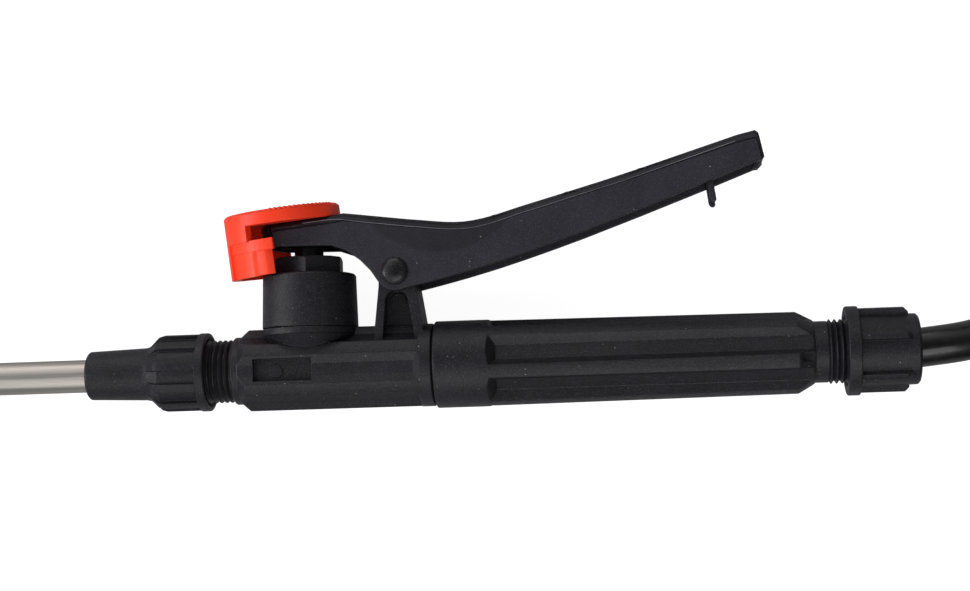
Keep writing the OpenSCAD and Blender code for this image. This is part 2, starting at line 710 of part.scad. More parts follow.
// Long black channel lever with its fork web, ribs and prongs
module lever() {
    inner_half = lever_half_w - lever_wall;
    color(black) place() difference() {
        union() {
            difference() {
                intersection() {
                    union() {
                        for (i = [0 : edge_steps]) let (a = 90 * i / edge_steps)
                            plate(lever_half_w - edge_r * (1 - cos(a))) lever_outline(edge_r * (1 - sin(a)));
                    }
                    lever_plan(0, 0.8);
                }
                intersection() {
                    plate(inner_half) translate([0, -lever_top]) polygon(lever_side_tall());
                    lever_plan(lever_top, 0);
                }
            }
            intersection() {
                difference() {
                    translate([-3.2, -inner_half - 0.5, web_z]) cube([10.4, 2 * inner_half + 1, web_h]);
                    translate([-10, -slot_half_w, web_z - 1]) cube([11.9, 2 * slot_half_w, web_h + 2]);
                }
                plate(inner_half + 0.5) polygon(lever_side);
            }
            for (x = [62, 86, 110]) intersection() {
                translate([x, -inner_half - 0.5, 0]) cube([1.5, 2 * inner_half + 1, 100]);
                plate(inner_half + 0.5) translate([0, 4]) polygon(lever_side);
                plate(inner_half + 0.5) polygon(lever_side);
            }
            for (s = [-1, 1]) prong(s * (inner_half - 1.6));
            translate([lever_end - 3.2, -3, lever_end_z - 11]) cube([1.8, 6, 4]);
        }
        bar_y(pivot_x, pivot_z, pin_r, -lever_half_w - 1, lever_half_w + 1);
        knob_frame() translate([0, 0, -8]) cylinder(h = 10, r = knob_boss_r + run_fit);
    }
}

// Body over the lever's plan, moved in by a wall: a box with rounded far corners, cut in front by
// an arc that leans towards the lance
module lever_plan(wall, corner_r) {
    half_w = lever_half_w - wall;
    arc_r = nose_arc_r - wall;
    nose_edge_r = corner_r > 0 ? 1.5 : 0.3;
    intersection() {
        linear_extrude(height = 2 * lever_end_z) offset(r = corner_r) offset(delta = -corner_r)
            translate([nose_x - 20, -half_w]) square([lever_end - wall - nose_x + 20, 2 * half_w]);
        translate([nose_x + nose_arc_r, 0, 49]) rotate([0, -nose_lean, 0]) translate([0, 0, -150])
            linear_extrude(height = 300) offset(r = nose_edge_r) offset(delta = -nose_edge_r)
                intersection() {
                    union() {
                        circle(r = arc_r);
                        translate([0, -arc_r]) square([2 * lever_end, 2 * arc_r]);
                    }
                    translate([-arc_r - 1, -half_w - 0.02]) square([3 * lever_end, 2 * half_w + 0.04]);
                }
    }
}

// One prong under the lever's far end, on a short stem from the channel's roof
module prong(y) {
    x = 133.3 + 0.85 * tail_dx;
    z = 56 + 0.85 * tail_dz;
    translate([0, y, 0]) plate(1.1) polygon([[x - 1.2, z + 10.4], [x - 0.8, z], [x - 0.1, z - prong_l + 1],
        [x + 0.6, z - prong_l], [x + 1.8, z - prong_l], [x + 2.1, z - prong_l + 0.8], [x + 1.3, z],
        [x + 3, z + 11.6]]);
}

// Headed pin through the lever and the post
module pivot_pin() {
    tail = lever_half_w + 1.9;
    color(black) place() translate([pivot_x, 0, pivot_z]) rotate([-90, 0, 0])
        rotate_extrude() polygon([[0, -lever_half_w - 1.8], [1.8, -lever_half_w - 1.65],
            [3.3, -lever_half_w - 1.2], [pin_head_r, -lever_half_w - 0.3], [pin_head_r, -lever_half_w],
            [pin_r, -lever_half_w], [pin_r, tail - 0.4], [pin_r - 0.4, tail], [0, tail]]);
}

// Retaining ring on the pin's far end
module pin_clip() {
    color(steel) place() translate([pivot_x, 0, pivot_z]) rotate([-90, 0, 0]) difference() {
        translate([0, 0, lever_half_w + 0.02]) cylinder(h = 0.8, r = pin_head_r - 0.2);
        translate([0, 0, lever_half_w - 1]) cylinder(h = 4, r = pin_r);
    }
}

// Wall of the knob between two depths, within a sector about its front
module knob_wall_part(half_a, r, z0, z1) {
    intersection() {
        ring_z(-z1, -z0, knob_inner_r, r);
        front_sector(half_a, -z1 - 1, -z0 + 1);
    }
}

// Wall of the knob with ends that slope inwards by drop over the last degrees
module knob_wall_slope(half_a, end_a, r, drop, z0, z1) {
    p = r * [-cos(half_a), sin(half_a)];
    q = (r - drop) * [-cos(half_a + end_a), sin(half_a + end_a)];
    far = p + 30 * unit(p - q);
    intersection() {
        ring_z(-z1, -z0, knob_inner_r, r);
        translate([0, 0, -z1 - 1]) linear_extrude(height = z1 - z0 + 2)
            polygon([[0, 0], q, far, [-60, 0], [far[0], -far[1]], [q[0], -q[1]]]);
    }
}

// Orange-red latch knob
module lock_knob() {
    notches = 14;
    color(red) place() knob_frame() difference() {
        union() {
            rotate_extrude() polygon([[0, 0], [knob_r - 0.2, 0], [knob_r, 0.4], [knob_r, knob_disc_h - 0.8],
                [knob_r - 0.8, knob_disc_h], [knob_r - 3, knob_disc_h], [knob_r - 4, knob_disc_h - 1.2],
                [7, knob_disc_h - 1.2], [6, knob_disc_h], [0, knob_disc_h]]);
            knob_wall_part(skirt_half, knob_r, -0.5, window_h + 0.2);
            knob_wall_part(tongue_half, knob_r, window_h, knob_collar_h);
            knob_wall_part(collar_half, knob_r - 0.7, window_h - 0.2, window_h + band_h);
            knob_wall_slope(block_half, 2.3, knob_r - 1, 0.5, window_h + band_h - 0.1, knob_collar_h);
            knob_wall_slope(lower_half, 6, knob_r - 1.5, 1, window_h + band_h - 0.1, knob_collar_h - 0.2);
            translate([0, 0, -knob_bushing - knob_gap])
                cylinder(h = knob_bushing + knob_gap + 0.4, r = knob_boss_r);
        }
        translate([0, 0, -5]) cylinder(h = 20, r = knob_pivot_r);
        translate([0, 0, knob_disc_h - 1.9]) cylinder(h = 3, r = 3.4);
        for (s = [-1, 1], i = [0 : notches - 1]) rotate([0, 0, s * (35.5 + 4.9 * i)])
            translate([knob_r + 0.1, 0, knob_disc_h - 0.7]) cylinder(h = 2, r = 0.6);
    }
}

// Screw through the knob and the lever's roof
module knob_screw() {
    color(soft_black) place() knob_frame() {
        translate([0, 0, -knob_screw_l + knob_disc_h]) cylinder(h = knob_screw_l - 1.4, r = knob_pivot_r);
        translate([0, 0, knob_disc_h - 1.9]) difference() {
            cylinder(h = 1.5, r = 3.2);
            for (a = [0, 90]) rotate([0, 0, a]) translate([-1.9, -0.4, 0.7]) cube([3.8, 0.8, 2]);
        }
    }
}

// Push-on retainer under the lever's roof
module knob_clip() {
    color(steel) place() knob_frame() ring_z(-knob_bushing - 1 - knob_gap, -knob_bushing - 0.02 - knob_gap,
                                         knob_pivot_r, knob_boss_r - 0.1);
}

// Fluted grip sleeve with neck and rear thread
module grip() {
    chamfer_l = 5.4;
    color(black) place() difference() {
        union() {
            turned([[grip_front, 0], [grip_front, grip_front_r - 0.4], [grip_front + 0.4, grip_front_r],
                    [grip_front + grip_ring_l - 3, grip_front_r], [grip_rear - chamfer_l, grip_rear_r],
                    [grip_rear, neck_r + 0.3], [grip_rear, neck_r], [grip_rear + neck_l, neck_r],
                    [grip_rear + neck_l, 0]]);
            spigot(grip_rear + neck_l - 0.1, hose_spigot_end);
        }
        flutes(grip_front + grip_ring_l, grip_rear + 2, 3, 0, grip_front_r, 74.3,
               grip_flute_depth, grip_flute_w, grip_flute_out);
        rod(grip_front - 1, grip_front + rear_spigot_l + 0.2, rear_spigot_r + 0.01);
        rod(grip_front, grip_front + room_l, room_r);
        rod(grip_front, hose_spigot_end + 1, 5);
        translate([grip_rear - 4.4, -grip_rear_r, -3.4]) cube([4.4, 3.4, 3]);
    }
}

// Ring in the joint between barrel and grip
module grip_gasket() {
    color(rubber) place() ring_x(barrel_rear, grip_front, rear_spigot_r + 0.05, barrel_r - 0.9);
}

// Sieve inside the grip
module grip_strainer() {
    x0 = grip_front + rear_spigot_l + 0.3;
    x1 = grip_front + room_l - 0.2;
    color(white) place() difference() {
        union() {
            rod(x0, x1, room_r - 1.8);
            rod(x1 - 3, x1, room_r - 0.05);
        }
        rod(x0 + 1.5, x1 + 1, room_r - 3.2);
        for (i = [0 : 9], a = [0, 90]) rotate([a, 0, 0]) translate([x0 + 6 + 5 * i, 0, 0])
            cylinder(h = 3 * room_r, r = 1.2, center = true);
    }
}

// Barbed insert that the hose is pushed on
module hose_tail() {
    barb = [for (i = [0 : 2], k = [0 : 1])
        [tail_x + tail_flange_l + 1.5 + 3 * i + [0, 2.6][k], hose_bore_r - [0, 0.5][k]]];
    color(white) place() difference() {
        turned(concat([[tail_x, 0], [tail_x, 9.9], [tail_x + tail_flange_l, 9.9],
                       [tail_x + tail_flange_l, hose_bore_r - 0.5]], barb,
                      [[barb_end, hose_bore_r - 0.6], [barb_end, 0]]));
        rod(tail_x - 1, barb_end + 1, 2.7);
    }
}

// Washer between the grip's thread end and the hose tail
module tail_seal() {
    color(rubber) place() ring_x(hose_spigot_end, tail_x, 5.1, 9.8);
}

// Union nut of the hose
module hose_nut() {
    flange_l = 4.2;
    rib_end = hose_nut_rear - 3.2;
    color(black) place() difference() {
        union() {
            turned([[hose_nut_front, 0], [hose_nut_front, hose_nut_r - 0.4], [hose_nut_front + 0.4, hose_nut_r],
                    [hose_nut_front + flange_l - 0.3, hose_nut_r], [hose_nut_front + flange_l, hose_nut_r - 0.3],
                    [hose_nut_front + flange_l, hose_nut_core_r + 0.3], [hose_nut_rear - 0.8, hose_nut_core_r],
                    [hose_nut_rear, hose_nut_core_r - 0.8], [hose_nut_rear, 0]]);
            rotate([13, 0, 0]) ribs(6, 5, hose_nut_front + flange_l - 1, rib_end, thread_r + 0.5,
                                    hose_nut_rib_r, 1.4);
        }
        rod(hose_nut_front - 1, hose_shoulder, thread_r + run_fit);
        rod(hose_shoulder - 1, hose_nut_rear + 1, hose_r + 0.7);
        cone_x(hose_nut_front - eps, hose_nut_front + 1.8, thread_r + 1.4, thread_r);
    }
}

// Hose: the end pushed on the tail, the run to the coil and the end inside the coil
module hose() {
    color(soft_black) {
        place() ring_x(hose_shoulder + 0.1, barb_end, hose_bore_r, hose_r);
        floor_place() sweep_cord(smooth(hose_route, 1), hose_r, 12);
        floor_place() sweep_cord(smooth(tip_route, 1), hose_r, 12);
    }
}

// Outer shape of the hose's coil
module hose_coil() {
    r_out = coil_out_r + hose_r;
    r_in = coil_in_r - hose_r;
    c = 3;
    color(soft_black) floor_place() translate([coil_x, coil_y, 0]) rotate_extrude()
        polygon([[r_in + c, 0], [r_out - c, 0], [r_out, c], [r_out, coil_h - c], [r_out - c, coil_h],
                 [r_in + c, coil_h], [r_in, coil_h - c], [r_in, c]]);
}

// Strap round the coil
module hose_tie() {
    r_out = coil_out_r + hose_r;
    r_in = coil_in_r - hose_r;
    t = 1;
    color(rubber) floor_place() translate([coil_x, coil_y, 0]) rotate([0, 0, -50])
        rotate([90, 0, 0]) linear_extrude(height = 14, center = true) difference() {
            translate([r_in - t, 0]) square([r_out - r_in + 2 * t, coil_h + t]);
            translate([r_in, -1]) square([r_out - r_in, coil_h + 1]);
        }
}

// Frame of the fitting at the hose's tank end: X points out of the hose
module tank_frame() {
    floor_place() translate([tank_x, tank_y, tank_nut_r]) rotate([0, 0, 180]) children();
}

// Barbed insert at the tank end
module tank_tail() {
    color(white) tank_frame() difference() {
        turned([[0.4, 0], [0.4, 7.4], [3, 7.4], [3, 5.6], [8, 5.6], [8, 9.6], [10, 9.6], [10, 0]]);
        rod(-1, 12, 2.7);
    }
}

// Washer inside the tank nut
module tank_seal() {
    color(rubber) tank_frame() ring_x(10, 11.4, 4, 9.6);
}

// Nut that screws on the tank's outlet
module tank_nut() {
    color(black) tank_frame() difference() {
        union() {
            turned([[6, 0], [6, tank_nut_r - 2.6], [7, tank_nut_r - 1.6], [6 + tank_nut_l - 4, tank_nut_r - 1.2],
                    [6 + tank_nut_l - 4, tank_nut_r], [6 + tank_nut_l, tank_nut_r], [6 + tank_nut_l, 0]]);
            rotate([22.5, 0, 0]) ribs(8, 13, 7, 6 + tank_nut_l - 3, tank_thread_r + 0.2, tank_nut_r, 0);
        }
        rod(6 + tank_nut_l - tank_thread_l, 7 + tank_nut_l, tank_thread_r);
        rod(7.9, 8 + tank_nut_l, 9.7);
        rod(0, 9, 5.7);
    }
}

lance_tube();
lance_ferrule();
lance_seal();
lance_nut();
nozzle_elbow();
nozzle_strainer();
swirl_core();
nozzle_gasket();
nozzle_cap();
valve_body();
valve_cap();
cap_gasket();
gland_nut();
stem_o_ring();
valve_stem();
valve_disc();
valve_spring();
lever();
pivot_pin();
pin_clip();
lock_knob();
knob_screw();
knob_clip();
grip();
grip_gasket();
grip_strainer();
hose_tail();
tail_seal();
hose_nut();
hose();
hose_coil();
hose_tie();
tank_nut();
tank_tail();
tank_seal();
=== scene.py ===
"""Trigger handle of a knapsack sprayer with its lance and hose, lying on a pale floor.

Lengths in this script are millimetres in the handle's frame (X along the grip towards the hose,
Z up through the valve to the lever, Y away from the side that faces up) until at() turns them
into metres of the row frame.
"""

import json
import math

import bmesh
import bpy
from mathutils import Matrix, Vector


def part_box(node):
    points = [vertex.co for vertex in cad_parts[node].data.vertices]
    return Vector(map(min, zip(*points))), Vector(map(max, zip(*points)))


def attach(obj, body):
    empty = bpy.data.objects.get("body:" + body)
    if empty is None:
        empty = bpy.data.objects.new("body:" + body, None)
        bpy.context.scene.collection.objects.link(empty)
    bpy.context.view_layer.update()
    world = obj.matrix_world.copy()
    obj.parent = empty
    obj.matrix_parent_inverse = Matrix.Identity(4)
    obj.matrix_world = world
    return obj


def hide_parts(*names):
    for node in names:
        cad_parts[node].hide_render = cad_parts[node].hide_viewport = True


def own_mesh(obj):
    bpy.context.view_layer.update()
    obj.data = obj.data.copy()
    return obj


MM = 0.001


def mid(node, axis):
    """Middle of a CAD node's box along one axis, in millimetres."""
    low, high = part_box(node)
    return (low[axis] + high[axis]) / 2 / MM


def at(x, y, z):
    """A point of the handle's frame, in metres of the row frame."""
    return Vector((VALVE_X + x, AXIS_Y + z, AXIS_H - y)) * MM


def on_floor(x, y, h):
    """A point of the hose's route: X from the valve's axis, Y from the handle's, height h."""
    return Vector((VALVE_X + x, AXIS_Y + y, h)) * MM


# ---------------------------------------------------------------- materials


class Tree:
    """Short hand for one material's nodes."""

    def __init__(self, name):
        self.mat = bpy.data.materials.new(name)
        self.mat.use_nodes = True
        self.nodes, self.links = self.mat.node_tree.nodes, self.mat.node_tree.links
        self.shader = self.nodes["Principled BSDF"]
        self.coords = self.nodes.new("ShaderNodeTexCoord").outputs["Object"]

    def node(self, kind, **values):
        made = self.nodes.new(kind)
        for key, value in values.items():
            if key in made.bl_rna.properties:
                setattr(made, key, value)
            else:
                self.put(made.inputs[key.replace("_", " ")], value)
        return made

    def put(self, socket, value):
        if isinstance(value, bpy.types.NodeSocket):
            self.links.new(value, socket)
        else:
            socket.default_value = value

    def set(self, **values):
        for key, value in values.items():
            self.put(self.shader.inputs[key.replace("_", " ")], value)

    def noise(self, scale, detail=2.0, rough=0.5, coords=None):
        made = self.node("ShaderNodeTexNoise", Scale=scale, Detail=detail, Roughness=rough)
        self.put(made.inputs["Vector"], coords or self.coords)
        return made.outputs["Fac"]

    def stretched(self, scale):
        made = self.node("ShaderNodeMapping")
        made.inputs["Scale"].default_value = scale
        self.put(made.inputs["Vector"], self.coords)
        return made.outputs["Vector"]

    def ramp(self, fac, low, high, a=0.0, b=1.0):
        """fac from low..high to a..b, held outside."""
        made = self.node("ShaderNodeMapRange", clamp=True)
        self.put(made.inputs["Value"], fac)
        for socket, value in zip(("From Min", "From Max", "To Min", "To Max"), (low, high, a, b)):
            made.inputs[socket].default_value = value
        return made.outputs["Result"]

    def mix(self, fac, a, b):
        made = self.node("ShaderNodeMix", data_type="RGBA")
        self.put(made.inputs["Factor"], fac)
        self.put(made.inputs[6], a)
        self.put(made.inputs[7], b)
        return made.outputs[2]

    def math(self, operation, a, b=0.0):
        made = self.node("ShaderNodeMath", operation=operation)
        self.put(made.inputs[0], a)
        self.put(made.inputs[1], b)
        return made.outputs[0]

    def bump(self, height, strength, distance):
        made = self.node("ShaderNodeBump", Strength=strength, Distance=distance)
        self.put(made.inputs["Height"], height)
        return made.outputs["Normal"]


def srgb(r, g, b):
    """A colour written as it shows, 0 to 255, for a shader socket."""
    def line(c):
        c /= 255
        return c / 12.92 if c <= 0.04045 else ((c + 0.055) / 1.055) ** 2.4
    return (line(r), line(g), line(b), 1.0)


def moulded(name, dark, light, rough, grain, specks=1.0, scuff=0.15, shine=0.32, shaded_at=None, shade_reach=0.0):
    """Matte moulded plastic: fine spark-eroded grain, faint clouding, dust specks and light wear.

    The last two arguments give the middle and radius of a round patch, seen along the handle's Y,
    painted darker with fewer light flecks: painted shade of a shallow sunk hollow in the side.
    """
    t = Tree(name)
    shade_patch = None
    if shaded_at is not None:
        flat = t.node("ShaderNodeVectorMath", operation="MULTIPLY")
        t.put(flat.inputs[0], t.coords)
        flat.inputs[1].default_value = (1, 1, 0)
        far = t.node("ShaderNodeVectorMath", operation="DISTANCE")
        t.put(far.inputs[0], flat.outputs[0])
        far.inputs[1].default_value = (shaded_at.x, shaded_at.y, 0)
        shade_patch = t.ramp(far.outputs["Value"], shade_reach - 0.0006, shade_reach + 0.0006, 1, 0)
    colour = t.mix(t.ramp(t.noise(60, 4, 0.6), 0.35, 0.7), dark, light)
    grainy = t.noise(2600, 2, 0.6)
    fleck = t.ramp(grainy, 0.52, 0.72, 0, 0.3)
    if shade_patch is not None:
        # Painted shade: inside the patch the colour is pulled towards srgb(20, 20, 26) and the light flecks are
        # thinned
        colour = t.mix(t.math("MULTIPLY", shade_patch, 0.5), colour, srgb(20, 20, 26))
        fleck = t.math("MULTIPLY", fleck, t.ramp(shade_patch, 0, 1, 1, 0.35))
    colour = t.mix(fleck, colour, srgb(92, 90, 102))
    cells = t.node("ShaderNodeTexVoronoi", Scale=520)
    t.put(cells.inputs["Vector"], t.coords)
    pick = t.node("ShaderNodeSeparateColor")
    t.put(pick.inputs[0], cells.outputs["Color"])
    dot = t.math("MULTIPLY", t.ramp(cells.outputs["Distance"], 0.06, 0.13, 1, 0),
                 t.ramp(pick.outputs[0], 0.9, 0.93, 0, 0.65 * specks))
    colour = t.mix(dot, colour, srgb(165, 163, 168))
    wear = t.ramp(t.noise(150, 6, 0.7, t.stretched((1, 3, 1))), 0.6, 0.8, 0, 0.14 * scuff)
    colour = t.mix(wear, colour, srgb(110, 108, 116))
    t.set(Base_Color=colour, Normal=t.bump(grainy, grain, 0.0004),
          Roughness=t.ramp(t.noise(240, 3, 0.6), 0.3, 0.7, rough - 0.06, rough + 0.08))
    t.shader.inputs["Specular IOR Level"].default_value = shine
    return t.mat


def brushed_steel():
    t = Tree("brushed_stainless")
    lines = t.noise(900, 3, 0.6, t.stretched((0.02, 1, 1)))
    t.set(Base_Color=t.mix(t.ramp(lines, 0.3, 0.7), srgb(160, 155, 150), srgb(186, 180, 174)), Metallic=1.0,
          Roughness=t.ramp(lines, 0.3, 0.7, 0.34, 0.5), Normal=t.bump(lines, 0.25, 0.0002))
    return t.mat


def turned_metal(name, dark, light, rough):
    t = Tree(name)
    lines = t.noise(700, 3, 0.6)
    t.set(Base_Color=t.mix(t.ramp(lines, 0.3, 0.7), dark, light), Metallic=1.0,
          Roughness=t.ramp(lines, 0.3, 0.7, rough, rough + 0.12), Normal=t.bump(lines, 0.15, 0.0002))
    return t.mat


def red_plastic():
    t = Tree("red_orange_plastic")
    clouds = t.noise(70, 3, 0.5)
    colour = t.mix(t.ramp(clouds, 0.3, 0.7), srgb(243, 55, 22), srgb(251, 68, 34))
    t.set(Base_Color=colour, Roughness=t.ramp(t.noise(300, 2), 0.3, 0.7, 0.36, 0.46),
          Normal=t.bump(t.noise(1600, 2), 0.3, 0.0003))
    t.shader.inputs["Specular IOR Level"].default_value = 0.3
    t.shader.inputs["Subsurface Weight"].default_value = 0.12
    t.shader.inputs["Subsurface Radius"].default_value = (0.004, 0.0014, 0.0008)
    t.shader.inputs["Subsurface Scale"].default_value = 1.0
    return t.mat


def rubber(name, dark, light, rough):
    t = Tree(name)
    t.set(Base_Color=t.mix(t.ramp(t.noise(300, 3), 0.3, 0.7), dark, light), Roughness=rough,
          Normal=t.bump(t.noise(1200, 2), 0.2, 0.0003))
    return t.mat


def hose_vinyl():
    t = Tree("hose_vinyl")
    drag = t.noise(220, 3, 0.6)
    t.set(Base_Color=t.mix(t.ramp(drag, 0.4, 0.7), srgb(9, 9, 10), srgb(18, 18, 20)),
          Roughness=t.ramp(drag, 0.3, 0.75, 0.2, 0.34), Normal=t.bump(drag, 0.1, 0.0004))
    t.shader.inputs["Coat Weight"].default_value = 0.1
    t.shader.inputs["Coat Roughness"].default_value = 0.12
    t.shader.inputs["Specular IOR Level"].default_value = 0.4
    return t.mat


def paint(obj, material):
    obj.data.materials.clear()
    obj.data.materials.append(material)


def soften(obj, width, segments, angle):
    """Rounds a CAD node's edges sharper than angle (degrees) to width (mm), with modifiers."""
    weld = obj.modifiers.new("weld", "WELD")
    weld.merge_threshold = 0.01 * MM
    flat = obj.modifiers.new("flat", "DECIMATE")
    flat.decimate_type = "DISSOLVE"
    flat.angle_limit = math.radians(0.5)
    bevel = obj.modifiers.new("bevel", "BEVEL")
    bevel.width = width * MM
    bevel.segments = segments
    bevel.limit_method = "ANGLE"
    bevel.angle_limit = math.radians(angle)
    bevel.use_clamp_overlap = False
    bevel.loop_slide = False
    even = obj.modifiers.new("even", "WEIGHTED_NORMAL")
    even.keep_sharp = False
    even.weight = 80
    obj.data.shade_smooth()
    return obj


def tube(name, points, radius, sides):
    """A round tube along points, in metres, with its radius in millimetres.

    The radius sits in the points, not in the bevel, so that the curve's own box fits the tube.
    """
    data = bpy.data.curves.new(name, "CURVE")
    data.dimensions = "3D"
    data.bevel_depth, data.bevel_resolution, data.use_fill_caps = 1.0, sides, True
    line = data.splines.new("POLY")
    line.points.add(len(points) - 1)
    for point, place in zip(line.points, points):
        point.co = (*place, 1)
        point.radius = radius * MM
    line.use_smooth = True
    made = bpy.data.objects.new(name, data)
    bpy.context.scene.collection.objects.link(made)
    return made


# ---------------------------------------------------------------- frame

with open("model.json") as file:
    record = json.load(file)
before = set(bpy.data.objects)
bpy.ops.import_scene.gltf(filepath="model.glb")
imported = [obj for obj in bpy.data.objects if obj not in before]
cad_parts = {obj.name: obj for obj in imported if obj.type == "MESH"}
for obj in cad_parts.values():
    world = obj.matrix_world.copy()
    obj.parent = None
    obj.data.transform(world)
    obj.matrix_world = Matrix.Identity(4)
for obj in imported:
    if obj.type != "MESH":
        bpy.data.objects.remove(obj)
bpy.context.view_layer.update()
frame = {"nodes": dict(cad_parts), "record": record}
nodes = frame["nodes"]
VALVE_X = mid("gland_nut", 0)
AXIS_Y = mid("lance_nut", 1)
AXIS_H = mid("lance_nut", 2)

# ---------------------------------------------------------------- camera and hose

SENSOR = 36.0
LENS = 72.74
EYE = (115.81, -642.46, -32.98)
RIGHT = Vector((0.99541, -0.02866, -0.09130))
UP = Vector((0.03624, 0.99593, 0.08249))


def camera():
    data = bpy.data.cameras.new("photo_camera")
    data.lens, data.sensor_width, data.sensor_fit = LENS, SENSOR, "HORIZONTAL"
    data.clip_start, data.clip_end = 0.01, 20
    made = bpy.data.objects.new("photo_camera", data)
    back = RIGHT.cross(UP).normalized()
    up = back.cross(RIGHT).normalized()
    made.matrix_world = Matrix.Translation(at(*EYE)) @ Matrix(
        (RIGHT.normalized(), up, back)).transposed().to_4x4()
    bpy.context.scene.collection.objects.link(made)
    bpy.context.scene.camera = made


# The run off the grip onto the floor, then the coil's turns, then the run to the tank's fitting
HOSE_R = 6.4
HOSE_RUN = [(190, 0.1, 19.4), (198, 0.3, 19.4), (203.5, 0.8, 19.3), (209, 1.4, 18.9), (214.7, 2.3, 17.9),
            (220.4, 3.7, 16.6), (226, 5.5, 15), (231.4, 7.7, 13.3), (241.5, 13.4, 10.1), (250.7, 20.6, 7.6),
            (257.9, 26.5, 6.7), (265.8, 31.4, 6.5), (274.2, 35.4, 6.5), (283.1, 38.2, 6.5),
            (292.2, 39.9, 6.5)]
HOSE_TIP = [(292.5, -100.5, 19.2), (283.5, -100.5, 19.1), (274.5, -100.5, 18), (265.5, -100.5, 16.3),
            (256.5, -100.5, 14.5), (249.5, -100.5, 13.5), (243.5, -100.5, 13.4)]
COIL_AT = (301.5, -30)
COIL_OUT, COIL_IN = 70.5, 57.5
TURNS = 2.5
STEPS = 48


def eased(value, low, high):
    """0 before low, 1 after high and smooth between."""
    part = min(max((value - low) / (high - low), 0), 1)
    return part * part * (3 - 2 * part)


def coil_point(turn):
    """Inwards on the floor for one turn, up a layer, then outwards on top."""
    inward = eased(turn, 0.45, 1.0)
    outward = eased(turn, 1.5, 2.2)
    radius = COIL_OUT - (COIL_OUT - COIL_IN) * (inward - outward)
    height = HOSE_R + 2 * HOSE_R * eased(turn, 1.0, 1.5)
    angle = math.radians(90 - 360 * turn)
    return COIL_AT[0] + radius * math.cos(angle), COIL_AT[1] + radius * math.sin(angle), height


def smooth(points, parts):
    """Points on a Catmull-Rom curve through the given ones."""
    made = []
    for i in range(len(points) - 1):
        p = [Vector(points[min(max(k, 0), len(points) - 1)]) for k in range(i - 1, i + 3)]
        for k in range(parts):
            t = k / parts
            made.append(0.5 * (2 * p[1] + (p[2] - p[0]) * t + (2 * p[0] - 5 * p[1] + 4 * p[2] - p[3]) * t * t
                               + (3 * p[1] - p[0] - 3 * p[2] + p[3]) * t ** 3))
    return made + [Vector(points[-1])]


def hose():
    coil = [coil_point(k / STEPS) for k in range(int(TURNS * STEPS) + 1)]
    route = smooth(HOSE_RUN + coil[:1], 3)[:-1] + [Vector(p) for p in coil[:-1]]
    route += smooth(coil[-1:] + HOSE_TIP, 3)
    made = tube("supply_hose", [on_floor(*place) for place in route], HOSE_R, 12)
    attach(made, "handle")
    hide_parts("hose", "hose_coil")
    return made


camera()
hose_piece = hose()

# ---------------------------------------------------------------- finishes

FINISHES = {
    "stainless": brushed_steel(),
    "brass": turned_metal("brass", srgb(176, 138, 74), srgb(205, 170, 104), 0.25),
    "black_plastic": moulded("moulded_black", srgb(20, 19, 24), srgb(27, 26, 32), 0.38, 0.35, shine=0.24),
    "dark_plastic": moulded("moulded_dark", srgb(20, 20, 25), srgb(27, 27, 32), 0.36, 0.2, 0.6, 0.3),
    "pin_plastic": moulded("moulded_pin", srgb(14, 14, 17), srgb(20, 20, 24), 0.24, 0.12, 0.8, 2.5),
    "red_plastic": red_plastic(),
    "white_plastic": moulded("moulded_white", srgb(206, 206, 200), srgb(222, 221, 216), 0.4, 0.2, 0.2, 0.1),
    "seal_rubber": rubber("seal_rubber", srgb(20, 20, 20), srgb(32, 32, 32), 0.6),
    "spring_steel": turned_metal("spring_steel", srgb(150, 148, 145), srgb(190, 188, 184), 0.25),
    "hose_pvc": hose_vinyl(),
    "strap": rubber("strap", srgb(24, 24, 26), srgb(40, 40, 42), 0.7),
}

# Rounding of the edges: width in millimetres, segments and the least angle in degrees
EDGE = (0.22, 2, 17)
EDGES = {"lock_knob": (0.12, 2, 40), "lever": (0.5, 3, 30), "valve_body": (0.15, 2, 17)}
for part in frame["record"]["subparts"]:
    paint(nodes[part["node"]], FINISHES[part["material_slot"]])
    soften(nodes[part["node"]], *EDGES.get(part["node"], EDGE))
paint(hose_piece, FINISHES["hose_pvc"])

# A round patch on the lever's side painted darker with fewer flecks: painted shade of a shallow hollow in the
# side
SHADE_PATCH_AT = (45.2, 0, 67.2)
SHADE_PATCH_R = 31
lever = nodes["lever"]
paint(lever, moulded("moulded_lever", srgb(32, 31, 38), srgb(39, 38, 46), 0.46, 0.5, shine=0.22,
                     shaded_at=lever.matrix_world.inverted() @ at(*SHADE_PATCH_AT), shade_reach=SHADE_PATCH_R * MM))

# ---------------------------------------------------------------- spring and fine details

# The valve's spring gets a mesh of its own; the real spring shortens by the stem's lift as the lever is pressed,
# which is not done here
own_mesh(nodes["valve_spring"])

# The seam where the lever's rounded top meets its flat side
SEAM = [(0, 47.4), (6, 48), (11, 48.3), (16, 47.6), (22, 46.75), (28, 45.95), (34, 45.15), (39, 44.6), (44, 44),
        (47, 43.7), (50, 43.55), (53, 43.6), (56, 43.85), (59.5, 44.45), (63, 45.3), (67.5, 46.6), (72, 47.95),
        (78, 49.55), (85, 51.5), (98, 55.05), (111, 58.8), (142, 68.5)]
SEAM_R = 0.11
LEVER_SIDE = -10.88


def lever_seam_highlight():
    """A thin light line along the lever's seam on the side that faces up: a painted highlight where the rounded
    top meets the flat side.
    """
    line = smooth([(x, z, 0) for x, z in SEAM], 3)
    made = tube("lever_seam_highlight", [at(p[0], LEVER_SIDE, p[1]) for p in line], SEAM_R, 2)
    # Painted highlight: a light grey material on the thin tube along the seam
    paint(made, moulded("painted_seam_highlight", srgb(105, 103, 110), srgb(128, 126, 133), 0.5, 0.1, 0, 0))
    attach(made, "lever")


KNOB_AXIS = Vector((-0.104206, 0.991456, 0.078459)).normalized()
KNOB_AT = (-8.6, 0, 48.65)
TEETH = 15
TOOTH_FROM, TOOTH_STEP = 22, 4.9
TOOTH_R, TOOTH_IN, TOOTH_DOWN = 0.6, 0.62, 0.4
RIM_DEPTH = 1.5


